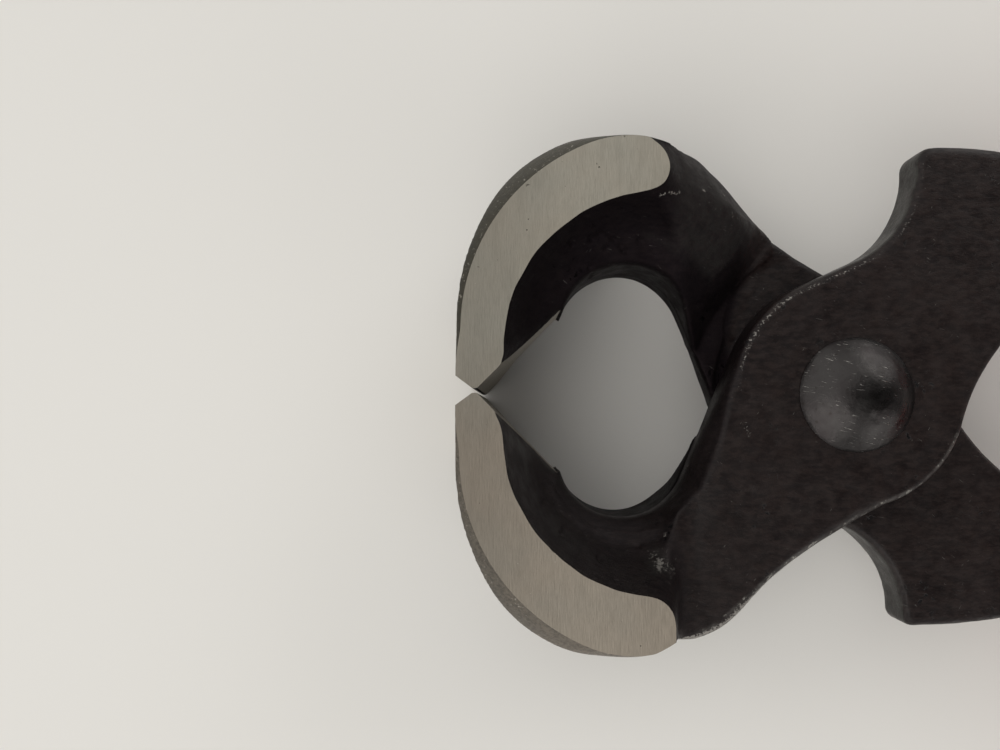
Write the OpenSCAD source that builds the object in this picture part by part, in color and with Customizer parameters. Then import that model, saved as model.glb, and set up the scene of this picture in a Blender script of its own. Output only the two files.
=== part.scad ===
/* [Overall] */
// Length from the front of the jaws to the ends of the handles
overall_len = 200; // [185:1:215]
// Width of the jaws along the cutting edge
jaw_w = 25; // [22:0.5:28]
// Thickness of each lever at the lap joint
plate_t = 4.6; // [4:0.1:5.4]
// Angle that the front lever opens through
open_angle = 34; // [25:1:36]

/* [Jaws] */
// Distance from the pivot to the front face of the jaws
head_reach = 38.3; // [36:0.1:40]
// Height across both jaws where the head is widest
head_h = 47; // [46:0.2:49]
// Distance of the cutting edges behind the front face
edge_setback = 1.7; // [1:0.1:2.5]
// Height of each ground bevel in front of its cutting edge
front_bevel = 1.25; // [0.8:0.05:2]
// Space left between the closed cutting edges
edge_gap = 0.06; // [0.04:0.01:0.15]
// Radius of the front corners of the head, seen from the side
corner_r = 14.6; // [14:0.1:16]
// Radius of the heel where each jaw ends above its neck
heel_r = 7.8; // [7:0.1:8.5]
// Share of the head's reach from the pivot to the centre of the heel radius
heel_share = 0.46; // [0.44:0.005:0.47]
// Depth that the cutting bevel is ground below the forged hollow
bevel_step = 0.6; // [0.3:0.1:0.9]

/* [Hollow between the jaws] */
// Radius of the hollow's round end in each jaw
hollow_r = 6.4; // [5.8:0.1:6.8]
// Share of the head's reach from the pivot to the centre of that round end
hollow_share = 0.582; // [0.57:0.002:0.594]
// Distance of that centre from the closing line
hollow_y = 6; // [5.6:0.1:6.4]
// Direction of the point where the hollow meets the bevel, from below the closing line
hollow_start = 15; // [8:1:20]
// Radius of the dished recess where it breaks the ground side face
dish_r = 13.7; // [12.8:0.1:14.2]
// Radius of the flat floor of that recess
dish_floor_r = 11.1; // [10:0.1:12]
// Share of the head's reach from the pivot to the centre of the recess
dish_share = 0.53; // [0.515:0.005:0.545]
// Distance of that centre from the closing line
dish_y = 3.8; // [3.4:0.1:4.2]

/* [Ground sides] */
// Radius of the ball and barrel shape that the outer edges are ground to
crown_r = 20.4; // [20.2:0.1:21]
// Share of the head's reach from the pivot to the centre of that ball shape
crown_share = 0.577; // [0.565:0.001:0.59]
// Distance of that centre from the closing line
crown_y = 6.8; // [6.4:0.1:7]
// Share of the head's reach from the pivot to the rear edge of the ground face
side_share = 0.501; // [0.486:0.001:0.52]
// Length of the steep step from the ground face down to the thick side of the neck
thick_step = 2; // [1:0.1:3]
// Radius of the hollowed slope down to the lap on the thin side of the neck
thin_r = 20; // [17:0.5:30]

/* [Neck] */
// Distance from the pivot to the end of that slope
neck_x = 7.5; // [7:0.1:8.5]
// Distance from the lap plane to the floor of the dished recess on the thin side
neck_t = 5.8; // [5.4:0.1:6.6]
// Radius of the long concave flank from heel to boss
flank_r = 60; // [50:1:80]
// Radius about the pivot inside which the neck is only as thick as its own plate
neck_lap_r = 14.8; // [14:0.1:15.4]
// Rise of the neck's thin side for each millimetre beyond that radius
neck_slope = 1.1; // [1:0.05:1.4]

/* [Joint] */
// Radius of the round boss on each lever
boss_r = 11.4; // [10.8:0.1:11.8]
// Distance of the boss centre from the pivot, towards the jaws
boss_back = 0.5; // [0:0.1:0.8]
// Distance of the boss centre from the pivot, towards the lever's own handle
boss_side = 0.3; // [0:0.1:0.5]
// Space left between the two lap faces
lap_gap = 0.1; // [0.06:0.01:0.2]
// Diameter of the rivet's shank
rivet_d = 7; // [6:0.1:8]
// Diameter of the rivet's round heads
rivet_head_d = 11.1; // [10:0.1:12]
// Height of the rivet's round heads
rivet_head_h = 2.5; // [1.8:0.1:3.2]
// Radial clearance between the rivet and the lever that turns on it
rivet_play = 0.05; // [0.02:0.01:0.09]
// Radial clearance between the rivet and the lever that holds it
rivet_hold = 0.01; // [0.01:0.01:0.02]
// Space left between the moving levers beside the joint
swing_gap = 0.4; // [0.2:0.05:0.5]

/* [Handles] */
// Radius of the notch between boss and shoulder
notch_r = 10.2; // [9.6:0.1:10.6]
// Distance of the notch centre behind the pivot, towards the jaws
notch_x = 3.8; // [3.4:0.1:4.4]
// Distance of the notch centre from the centre line
notch_y = 22.6; // [22:0.1:23.2]
// Height across both shoulders
shoulder_h = 47.9; // [46.4:0.1:49.4]
// Radius of the rounded outer side of the shoulder
shoulder_r = 45; // [36:1:55]
// Distance from the pivot to the highest point of the shoulder
shoulder_x = 8; // [7:0.1:10]
// Radius of the shoulder's rear corner
shoulder_corner_r = 1.3; // [0.8:0.1:1.8]
// Radius of the hollowed waist between shoulder and grip
waist_r = 30; // [24:1:40]
// Distance from the pivot to the point where the handles part
crotch_x = 11.8; // [11.4:0.1:12.4]
// Radius of the arch between the handles behind the joint
crotch_r = 19; // [17:0.5:22]
// Width of the bare handle inside its grip
tang_w = 9.5; // [8.5:0.1:10]
// Radius of the outward bow of the handles
bow_r = 470; // [430:2:520]
// Distance from the pivot to the widest point of the bow
bow_x = 95; // [90:1:100]
// Distance of the handle's centre line from the middle at that point
bow_y = 21.5; // [20.5:0.1:23]
// Distance from the pivot to the start of the bend that centres the handle
joggle_start = 18; // [17:0.5:20]
// Length of that bend
joggle_len = 11; // [9:0.5:12]

/* [Grips] */
// Distance from the pivot to the front end of the grips
grip_start = 31; // [30.5:0.5:36]
// Width of a grip
grip_w = 14.5; // [13.5:0.1:16]
// Thickness of a grip
grip_t = 12; // [11:0.1:14]
// Radius of the rounded edges of a grip
grip_round = 4.8; // [3:0.1:5.4]
// Space left between a grip and the handle inside it
grip_gap = 0.03; // [0.02:0.01:0.06]

/* [Hidden] */
$fn = 96;
overrun = 1;
blend_share = 0.995;

lap_z = lap_gap / 2;
blend_r = blend_share * boss_r;
edge_x = head_reach - edge_setback;
heel_x = heel_share * head_reach;
hollow_x = hollow_share * head_reach;
dish_x = dish_share * head_reach;
crown_x = crown_share * head_reach;
side_x = side_share * head_reach;
half_w = jaw_w / 2;
boss_c = [-boss_back, boss_side];
hollow_c = [-hollow_x, -hollow_y];
notch_c = [-notch_x, notch_y];
heel_c = [-heel_x, heel_r - head_h / 2];
corner_c = [corner_r - head_reach, corner_r - head_h / 2];
crown_c = [shoulder_x, shoulder_h / 2 - shoulder_r];
bow_c = [bow_x, bow_y - bow_r];
grip_end_x = overall_len - head_reach - grip_w / 2;

function on_circle(c, r, a) = c + r * [cos(a), sin(a)];
function heading(v) = atan2(v[1], v[0]);
function arc(c, r, from, to, steps) =
    [for (i = [0:steps]) on_circle(c, r, from + (to - from) * i / steps)];
// Point that lies ra from a and rb from b; side is 1 to the left of the way from a to b
function meet(a, ra, b, rb, side) =
    let (v = b - a, d = norm(v), u = v / d, k = (ra * ra - rb * rb + d * d) / (2 * d))
    a + k * u + side * sqrt(ra * ra - k * k) * [-u[1], u[0]];
// Direction of the line that touches circle a on one side and circle b on the other
function crossing(a, ra, b, rb, side) =
    heading(b - a) + side * asin((ra + rb) / norm(b - a));
function bow_angle(x) = acos((x - bow_x) / bow_r);

// Jaw and neck of the front lever in plan, as far as the middle of its boss
module jaw_plan() {
    flank_c = meet(heel_c, heel_r + flank_r, boss_c, blend_r + flank_r, -1);
    heel_to = heading(flank_c - heel_c);
    boss_at = heading(flank_c - boss_c);
    neck = crossing(hollow_c, hollow_r, boss_c, blend_r, 1);
    lip = on_circle(hollow_c, hollow_r, hollow_start - 180);
    edge = [-edge_x, -edge_gap / 2];
    into = heading(lip - edge) - 90;
    polygon(concat(
        [edge, [-head_reach, -edge_gap / 2 - front_bevel]],
        arc(corner_c, corner_r, 180, 270, 16),
        arc(heel_c, heel_r, 270, 360 + heel_to, 6),
        arc(flank_c, flank_r, heel_to + 180, boss_at + 180, 10),
        [boss_c, on_circle(boss_c, blend_r, neck + 90)],
        arc(hollow_c, hollow_r, neck - 90, hollow_start - 180, 24),
        [on_circle(lip, bevel_step, into)]
    ));
}

// Boss and handle of the front lever in plan; grow moves the whole outline outwards
module handle_plan(grow = 0) {
    boss = blend_r + grow;
    notch = notch_r - grow;
    corner = shoulder_corner_r + grow;
    crown = shoulder_r + grow;
    waist = waist_r - grow;
    crotch = crotch_r - grow;
    half = tang_w / 2 + grow;
    blend = crossing(boss_c, boss, notch_c, notch, -1);
    corner_at = meet(notch_c, notch + corner, crown_c, crown - corner, 1);
    waist_c = meet(crown_c, crown + waist, bow_c, bow_r + half + waist, 1);
    crotch_c = meet([crotch_x, 0], crotch_r, bow_c, bow_r - tang_w / 2 - crotch_r, 1);
    end_a = bow_angle(grip_end_x);
    notch_to = heading(corner_at - notch_c);
    corner_to = heading(corner_at - crown_c);
    waist_from = heading(waist_c - crown_c);
    outer_from = heading(waist_c - bow_c);
    inner_to = heading(crotch_c - bow_c);
    polygon(concat(
        [boss_c, on_circle(boss_c, boss, blend + 90)],
        arc(notch_c, notch, blend - 90, notch_to, 12),
        arc(corner_at, corner, notch_to + 180, corner_to, 5),
        arc(crown_c, crown, corner_to, waist_from, 8),
        arc(waist_c, waist, waist_from + 180, outer_from + 180, 8),
        arc(bow_c, bow_r + half, outer_from, end_a, 12),
        arc(on_circle(bow_c, bow_r, end_a), half, end_a, end_a - 180, 10),
        arc(bow_c, bow_r - half, end_a, inner_to, 12),
        arc(crotch_c, crotch, inner_to, heading(boss_c - crotch_c), 12)
    ));
    translate(boss_c)
        circle(boss_r + grow);
}

// Side view of the handle: flat plate at the joint, then a bend to the middle
module handle_side() {
    bend_end = joggle_start + joggle_len;
    far = overall_len - head_reach + overrun;
    near = -boss_r - boss_back - overrun;
    polygon([
        [near, lap_z], [joggle_start, lap_z], [bend_end, -plate_t / 2], [far, -plate_t / 2],
        [far, plate_t / 2], [bend_end, plate_t / 2], [joggle_start, plate_t], [near, plate_t]
    ]);
}

// Side view of the jaw: wide head, steep step on the thick side, hollowed slope on the thin side
module jaw_side() {
    front = -head_reach - overrun;
    back = boss_r + overrun;
    foot = [-neck_x, lap_z];
    top = [-side_x, -half_w];
    slope_c = meet(top, thin_r, foot, thin_r, -1);
    polygon(concat(
        [[front, -half_w]],
        arc(slope_c, thin_r, heading(top - slope_c), heading(foot - slope_c), 10),
        [[back, lap_z], [back, plate_t], [thick_step - side_x, plate_t], [-side_x, half_w],
        [front, half_w]]
    ));
}

// Space inside the ball and barrel shape that rounds the outer edges of the head
module crown_space() {
    reach = head_reach + boss_r;
    translate([-crown_x, -crown_y, 0]) {
        sphere(crown_r);
        rotate([0, 90, 0])
            cylinder(r = crown_r, h = reach);
        translate([-head_reach, 0, -half_w])
            cube([head_reach + reach, head_h, jaw_w]);
    }
}

// Space about the pivot that the jaw may fill: above the lap face near the joint, all of it further out
module neck_space() {
    far_r = neck_lap_r + (half_w + lap_z) / neck_slope;
    rotate_extrude()
        polygon([
            [0, lap_z], [neck_lap_r, lap_z], [far_r, -half_w],
            [far_r + head_reach, -half_w], [far_r + head_reach, half_w], [0, half_w]
        ]);
}

// Dished recess round the hollow, from the ground side face down to a flat floor
module dish(floor_z) {
    depth = half_w - floor_z;
    flare = (dish_r - dish_floor_r) / depth;
    translate([-dish_x, -dish_y, floor_z])
        cylinder(r1 = dish_floor_r, r2 = dish_r + flare * overrun, h = depth + overrun);
}

// Room for the other lever's handle when the joint is fully open
module swing_room() {
    depth = plate_t + swing_gap;
    translate([0, 0, lap_z - depth])
        linear_extrude(depth)
            rotate(-open_angle)
                mirror([0, 1])
                    handle_plan(swing_gap);
}

module jaw() {
    difference() {
        intersection() {
            linear_extrude(jaw_w, center = true)
                jaw_plan();
            rotate([90, 0, 0])
                linear_extrude(head_h + overrun, center = true)
                    jaw_side();
            neck_space();
            crown_space();
        }
        dish(plate_t);
        mirror([0, 0, 1])
            dish(neck_t);
        swing_room();
    }
}

module handle() {
    intersection() {
        linear_extrude(2 * plate_t, center = true)
            handle_plan();
        rotate([90, 0, 0])
            linear_extrude(shoulder_h + bow_y, center = true)
                handle_side();
    }
}

module lever(bore_r) {
    difference() {
        union() {
            jaw();
            handle();
        }
        translate([0, 0, -overrun])
            cylinder(r = bore_r, h = plate_t + 2 * overrun);
    }
}

// Rounded section of a grip, lying in the plane of its thickness
module grip_section() {
    x = grip_w / 2 - grip_round;
    y = grip_t / 2 - grip_round;
    polygon(concat(
        arc([x, y], grip_round, 0, 90, 6), arc([-x, y], grip_round, 90, 180, 6),
        arc([-x, -y], grip_round, 180, 270, 6), arc([x, -y], grip_round, 270, 360, 6)
    ));
}

module grip() {
    end_a = bow_angle(grip_end_x);
    start_a = bow_angle(grip_start);
    color("firebrick")
        difference() {
            translate(bow_c)
                rotate(end_a) {
                    rotate_extrude(angle = start_a - end_a, $fn = 720)
                        translate([bow_r, 0])
                            grip_section();
                    translate([bow_r, 0])
                        mirror([0, 1])
                            rotate_extrude(angle = 180)
                                intersection() {
                                    grip_section();
                                    translate([0, -grip_t])
                                        square([grip_w, 2 * grip_t]);
                                }
                }
            linear_extrude(plate_t + 2 * grip_gap, center = true)
                handle_plan(grip_gap);
        }
}

module rivet_head() {
    head_r = rivet_head_d / 2;
    dome_r = (head_r * head_r + rivet_head_h * rivet_head_h) / (2 * rivet_head_h);
    intersection() {
        translate([0, 0, plate_t + rivet_head_h - dome_r])
            sphere(dome_r);
        translate([0, 0, plate_t + lap_z])
            cylinder(r = head_r, h = rivet_head_h);
    }
}

// Everything is drawn about the pivot, then set down with the jaws' flat side on the ground
module set_down() {
    translate([head_reach - overall_len / 2, 0, half_w])
        children();
}

module front_lever() {
    color("dimgray")
        set_down()
            lever(rivet_d / 2 + rivet_play);
}

module rear_lever() {
    color("dimgray")
        set_down()
            rotate([180, 0, 0])
                lever(rivet_d / 2 + rivet_hold);
}

module pivot_rivet() {
    color("gray")
        set_down()
            union() {
                cylinder(r = rivet_d / 2, h = 2 * (plate_t + lap_z) + lap_z, center = true);
                rivet_head();
                mirror([0, 0, 1])
                    rivet_head();
            }
}

module front_grip() {
    set_down()
        grip();
}

module rear_grip() {
    set_down()
        rotate([180, 0, 0])
            grip();
}

rear_lever();
front_lever();
pivot_rivet();
rear_grip();
front_grip();
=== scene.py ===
import math

import bmesh
import bpy
import numpy as np
from mathutils import Matrix, Vector


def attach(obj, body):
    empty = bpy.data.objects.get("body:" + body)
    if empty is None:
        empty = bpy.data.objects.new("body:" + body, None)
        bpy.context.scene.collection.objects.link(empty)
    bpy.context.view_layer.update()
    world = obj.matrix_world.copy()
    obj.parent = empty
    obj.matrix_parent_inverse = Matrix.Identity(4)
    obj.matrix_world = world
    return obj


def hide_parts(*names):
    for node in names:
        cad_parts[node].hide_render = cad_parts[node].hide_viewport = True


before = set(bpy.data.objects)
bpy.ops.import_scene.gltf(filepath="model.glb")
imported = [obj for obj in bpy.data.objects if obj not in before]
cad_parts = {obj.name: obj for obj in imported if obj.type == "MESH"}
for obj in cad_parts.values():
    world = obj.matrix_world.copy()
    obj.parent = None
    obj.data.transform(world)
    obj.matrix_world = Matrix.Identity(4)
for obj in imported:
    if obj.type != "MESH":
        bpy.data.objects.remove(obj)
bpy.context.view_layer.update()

MM = 0.001
PIVOT = np.array([-61.7, 0.0, 12.5])  # the hinge's axis in the row frame, mm

# Sizes of the part in mm, as its source names them. Both levers are one forging, described about
# the pivot with its jaw at -x and -y of the closing line and its thick side at +z.
PLATE_T, LAP_Z, HALF_W = 4.6, 0.05, 12.5
HEAD_REACH, HEAD_H, EDGE_X, FRONT_BEVEL, EDGE_Y = 38.3, 47.0, 36.6, 1.25, -0.03
HEEL_R, HEEL_X, BEVEL_STEP = 7.8, 17.6, 0.4
HOLLOW_R, HOLLOW_X, HOLLOW_Y, HOLLOW_START = 6.4, 22.3, 6.0, 15
DISH_R, DISH_FLOOR_R, BOWL_FLOOR_R, DISH_X, DISH_Y = 13.7, 11.1, 11.7, 20.3, 3.8
CROWN_R, CROWN_X, CROWN_Y = 21.67, 20.2, 5.4  # the ball shape of the ground outer edges
TAIL_R, TAIL_X, TAIL_Y, TAIL_LEN = 11.0, 23.9, 11.74, 6.0  # and its tighter rear end
SIDE_X, THICK_STEP = 19.2, 2.0
PAD_X, PAD_Y, PAD_R, PAD_DRAFT = 21.9, 19.8, 2.4, 0.55  # round end of the thin side's ground pad
NECK_TOP, NECK_FALL, NECK_STEEP = 11.4, 0.6, 1.6  # the neck behind it, and the steep face below
NECK_X, NECK_T, FLANK_R, NECK_LAP_R, NECK_SLOPE = 7.5, 5.8, 60.0, 14.8, 1.1
BOSS_R, BOSS_C = 11.4, np.array([-0.5, 0.3])
BORE_R, HEAD_D, HEAD_RISE, SHANK_R, SWING_GAP, OPEN_ANGLE = 3.55, 11.1, 2.5, 3.5, 0.4, 34
NOTCH_R, NOTCH_X, NOTCH_Y = 10.2, 3.8, 22.6
SHOULDER_H, SHOULDER_R, SHOULDER_X, SHOULDER_CORNER_R = 47.9, 45.0, 8.0, 1.3
WAIST_R, CROTCH_X, CROTCH_R, TANG_W = 30.0, 11.8, 19.0, 9.5
BOW_R, BOW_X, BOW_Y = 470.0, 95.0, 21.5
JOGGLE_START, JOGGLE_LEN = 18.0, 11.0
OVERALL_LEN, GRIP_START, GRIP_W, GRIP_T = 200.0, 31.0, 14.5, 12.0
GRIP_END_X = OVERALL_LEN - HEAD_REACH - GRIP_W / 2

HEEL_C = np.array([-HEEL_X, HEEL_R - HEAD_H / 2])
HOLLOW_C = np.array([-HOLLOW_X, -HOLLOW_Y])
NOTCH_C = np.array([-NOTCH_X, NOTCH_Y])
SHOULDER_C = np.array([SHOULDER_X, SHOULDER_H / 2 - SHOULDER_R])
BOW_C = np.array([BOW_X, BOW_Y - BOW_R])

# The head's outer corner in plan, and the line where the thick side's bowl meets the plate
CORNER_LINE = [
    (-38.3, -6.0), (-38.22, -8.4), (-37.9, -10.6), (-37.25, -13.0), (-36.15, -15.8),
    (-34.6, -18.6), (-32.45, -20.95), (-29.7, -22.55), (-26.6, -23.35), (-23.5, -23.5)]
BOWL_LINE = [
    (-19.3, -21.0), (-18.9, -18.4), (-18.5, -16.7), (-18.6, -14.8), (-17.2, -11.4),
    (-15.0, -9.4), (-13.6, -6.5), (-12.6, -3.6), (-11.5, 2.0)]
BOWL_EDGE_W, BOWL_EDGE_H = 3.0, 1.5  # the rounded drop beside that line


# Plan outlines

def on_circle(c, r, deg):
    a = math.radians(deg)
    return np.asarray(c, float) + r * np.array([math.cos(a), math.sin(a)])


def heading(v):
    return math.degrees(math.atan2(v[1], v[0]))


def arc(c, r, start, end, step=3.0):
    n = max(2, int(abs(end - start) / step) + 1)
    return [on_circle(c, r, start + (end - start) * i / n) for i in range(n + 1)]


def meet(a, ra, b, rb, side):
    """Where two circles cross, on one side of the line between their centres."""
    a, b = np.asarray(a, float), np.asarray(b, float)
    v = b - a
    d = np.linalg.norm(v)
    u = v / d
    k = (ra * ra - rb * rb + d * d) / (2 * d)
    return a + k * u + side * math.sqrt(ra * ra - k * k) * np.array([-u[1], u[0]])


def crossing(a, ra, b, rb, side):
    """Heading of the line that touches both circles and crosses between them."""
    v = np.asarray(b, float) - np.asarray(a, float)
    return heading(v) + side * math.degrees(math.asin((ra + rb) / np.linalg.norm(v)))


def bow_angle(x):
    return math.degrees(math.acos((x - BOW_X) / BOW_R))


def smooth_line(points, parts=6):
    """Points on a curve through the given points."""
    p = np.array([points[0]] + list(points) + [points[-1]], float)
    out = []
    for a, b, c, d in zip(p, p[1:], p[2:], p[3:]):
        for t in np.arange(parts) / parts:
            out.append(0.5 * (2 * b + (c - a) * t + (2 * a - 5 * b + 4 * c - d) * t ** 2
                              + (3 * b - a - 3 * c + d) * t ** 3))
    return out + [p[-1]]


def jaw_outline():
    flank_c = meet(HEEL_C, HEEL_R + FLANK_R, BOSS_C, BOSS_R + FLANK_R, -1)
    heel_to = heading(flank_c - HEEL_C)
    boss_at = heading(flank_c - BOSS_C)
    neck = crossing(HOLLOW_C, HOLLOW_R, BOSS_C, BOSS_R, 1)
    lip = on_circle(HOLLOW_C, HOLLOW_R, HOLLOW_START - 180)
    edge = np.array([-EDGE_X, EDGE_Y])
    into = heading(lip - edge) - 90
    pts = [edge, np.array([-HEAD_REACH, EDGE_Y - FRONT_BEVEL])]
    pts += smooth_line(CORNER_LINE)
    pts += arc(HEEL_C, HEEL_R, 270, 360 + heel_to)
    pts += arc(flank_c, FLANK_R, heel_to + 180, boss_at + 180, 1.0)
    pts += [BOSS_C, on_circle(BOSS_C, BOSS_R, neck + 90)]
    pts += arc(HOLLOW_C, HOLLOW_R, neck - 90, HOLLOW_START - 180)
    pts += [on_circle(lip, BEVEL_STEP, into)]
    return np.array(pts)


def handle_outline(grow=0.0):
    boss, notch = BOSS_R + grow, NOTCH_R - grow
    corner, crown = SHOULDER_CORNER_R + grow, SHOULDER_R + grow
    waist, crotch, half = WAIST_R - grow, CROTCH_R - grow, TANG_W / 2 + grow
    blend = crossing(BOSS_C, boss, NOTCH_C, notch, -1)
    corner_at = meet(NOTCH_C, notch + corner, SHOULDER_C, crown - corner, 1)
    waist_c = meet(SHOULDER_C, crown + waist, BOW_C, BOW_R + half + waist, 1)
    crotch_c = meet([CROTCH_X, 0], CROTCH_R, BOW_C, BOW_R - TANG_W / 2 - CROTCH_R, 1)
    end = bow_angle(GRIP_END_X)
    notch_to = heading(corner_at - NOTCH_C)
    corner_to = heading(corner_at - SHOULDER_C)
    crown_to = heading(waist_c - SHOULDER_C)
    waist_to = heading(waist_c - BOW_C)
    pts = [BOSS_C, on_circle(BOSS_C, boss, blend + 90)]
    pts += arc(NOTCH_C, notch, blend - 90, notch_to)
    pts += arc(corner_at, corner, notch_to + 180, corner_to, 12)
    pts += arc(SHOULDER_C, crown, corner_to, crown_to, 1)
    pts += arc(waist_c, waist, crown_to + 180, waist_to + 180, 2)
    pts += arc(BOW_C, BOW_R + half, waist_to, end, 0.7)
    pts += arc(on_circle(BOW_C, BOW_R, end), half, end, end - 180, 10)
    pts += arc(BOW_C, BOW_R - half, end, heading(crotch_c - BOW_C), 0.7)
    # the crotch's arc opens a little towards its end, to run into the boss
    gap = np.linalg.norm(BOSS_C - crotch_c) - BOSS_R - CROTCH_R
    turn, turn_end = heading(crotch_c - BOW_C), heading(BOSS_C - crotch_c)
    pts += [on_circle(crotch_c, crotch + gap * t * t, turn + (turn_end - turn) * t)
            for t in np.linspace(0, 1, 24)]
    return np.array(pts)


def segment_offset(x, y, a, b):
    """From the nearest point of a segment to each point."""
    ex, ey = b[0] - a[0], b[1] - a[1]
    px, py = x - a[0], y - a[1]
    t = np.clip((px * ex + py * ey) / (ex * ex + ey * ey), 0, 1)
    return px - t * ex, py - t * ey


def outline_distance(pts, x, y):
    """Signed distance to a closed outline, negative inside."""
    best = np.full(x.shape, 1e9, np.float32)
    inside = np.zeros(x.shape, bool)
    for a, b in zip(pts, np.roll(pts, -1, axis=0)):
        ex, ey = b - a
        if ex * ex + ey * ey < 1e-12:
            continue
        dx, dy = segment_offset(x, y, a, b)
        best = np.minimum(best, dx ** 2 + dy ** 2)
        if ey != 0:
            hit = ((a[1] > y) != (b[1] > y)) & (x < ex * (y - a[1]) / ey + a[0])
            inside ^= hit
    d = np.sqrt(best)
    return np.where(inside, -d, d)


def boss_distance(x, y):
    return np.hypot(x - BOSS_C[0], y - BOSS_C[1]) - BOSS_R


def bowl_depth(x, y):
    """How far the bowl beside the hollow lies below the plate."""
    best = np.full(x.shape, 1e9)
    side = np.zeros(x.shape)
    for a, b in zip(BOWL_LINE, BOWL_LINE[1:]):
        dx, dy = segment_offset(x, y, a, b)
        d = dx ** 2 + dy ** 2
        near = d < best
        best = np.where(near, d, best)
        side = np.where(near, (b[0] - a[0]) * (y - a[1]) - (b[1] - a[1]) * (x - a[0]), side)
    d = np.clip(np.sqrt(best) * np.sign(side), 0, BOWL_EDGE_W)
    return BOWL_EDGE_H * np.sin(d * math.pi / (2 * BOWL_EDGE_W))


# Blends and noise

def rise(value, start, length):
    """0 up to the start, then up to 1 over the length."""
    return np.clip((value - start) / length, 0, 1)


def ease(t):
    return t * t * (3 - 2 * t)


def smax(a, b, k):
    """The larger of two distances, with the corner between them rounded over k."""
    h = np.maximum(k - np.abs(a - b), 0)
    return np.maximum(a, b) + h * h / (4 * k)


def smin(a, b, k):
    return -smax(-a, -b, k)


HASH_X, HASH_Y, HASH_Z, HASH_SEED = 374761393, 668265263, 2147483647, 1274126177
HASH_LAST, WORD, SHARE_BITS = 2246822519, 0xFFFFFFFF, 0xFFFFFF


def lattice(i, j, k, seed):
    """A fixed random share from 0 to 1 at each point of a grid."""
    h = (i * HASH_X + j * HASH_Y + k * HASH_Z + seed * HASH_SEED) & WORD
    h = ((h ^ (h >> 13)) * HASH_SEED) & WORD
    h = ((h ^ (h >> 16)) * HASH_LAST) & WORD
    return ((h ^ (h >> 15)) & SHARE_BITS) / float(SHARE_BITS)


def noise3(p, size, seed):
    """Smooth noise from -1 to 1 with features of that size."""
    q = p / size
    b = np.floor(q).astype(np.int64)
    t = ease(q - b)
    out = np.zeros(len(p))
    for dx, dy, dz in np.ndindex(2, 2, 2):
        w = np.abs(1 - dx - t[:, 0]) * np.abs(1 - dy - t[:, 1]) * np.abs(1 - dz - t[:, 2])
        out += w * lattice(b[:, 0] + dx, b[:, 1] + dy, b[:, 2] + dz, seed)
    return out * 2 - 1


def uneven(p, kind, seed):
    """Noise of a kind given as (height, size), in mm."""
    height, size = kind
    return height * noise3(p, size, seed)


def sunken(p, kinds, seed):
    """Noise that only goes down from 0, summed over kinds given as (depth, size), in mm."""
    return sum(depth * (noise3(p, size, seed + i) - 1) for i, (depth, size) in enumerate(kinds))


# The forging as a distance field

# How far its surfaces run into each other, mm
BLEND = {
    "plate": 1.6, "bowl": 3.0, "cut": (1.0, 2.8), "neck": 1.6, "pad": 1.8, "slope": (1.0, 2.2),
    "thin_bowl": 5.0, "relief": 1.2, "thin_cut": 1.0, "swing_room": 0.6, "thick_rim": (1.4, 1.0),
    "thin_rim": 0.7, "outer_rim": 3.3, "handle_rim": 0.9, "crown": 0.8}
# Where shapes come in, as (start, length) along x, down from the closing line or in depth
FLANK_FRONT, FLANK_REAR, FLANK_DOWN = (-18.6, 3), (8.0, 4), (9, 4)
FLANK_OUT = 0.45  # how far the flank behind the heel stands out
OUTER_DOWN, OUTER_FRONT, RIM_DEEP, CUT_DOWN = (12.0, 5.0), (-19.5, 2.5), (1.0, 3.5), (14.0, 2.5)
RIM_LEDGES = ((0.28, 2.8, 0.45), (0.24, 1.35, 0.4))  # drop, inset and slope of steps round the bowl
LEDGES_Y, LEDGES_DEEP = -15, (0, 0.6)
# Slopes that let the bowls and the neck run out behind these places
DISH_OUT, DISH_OUT_X, THIN_DISH_OUT, FALL_OUT, FALL_OUT_Y = 0.3, 15.5, 0.45, 0.12, 17.0
DISH_ROUGH, DISH_SEED = (0.06, 1.5), 5
FOOT_NEAR, FOOT_FAR, FOOT_LEAN, FOOT_SPLAY = 8.0, 17.4, 0.36, 0.62  # the steep face's foot in plan
NECK_COS, STEEP_COS, RELIEF_COS = 0.86, 0.85, 0.7  # from measured heights to distances
BALL_FADE, TAIL_FADE = 0.15, 1.5  # how fast the crown's shapes end beside their places
TAIL_SHARE, TAIL_MIDDLE = 0.4, 7.5
TAIL_THIN, TAIL_THICK, TAIL_END = -0.35, 0.45, (-21.0, 2.5)  # its end stands out or in on each side


def shares(span, t):
    """From the first to the second value of a span."""
    return span[0] + (span[1] - span[0]) * t


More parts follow.
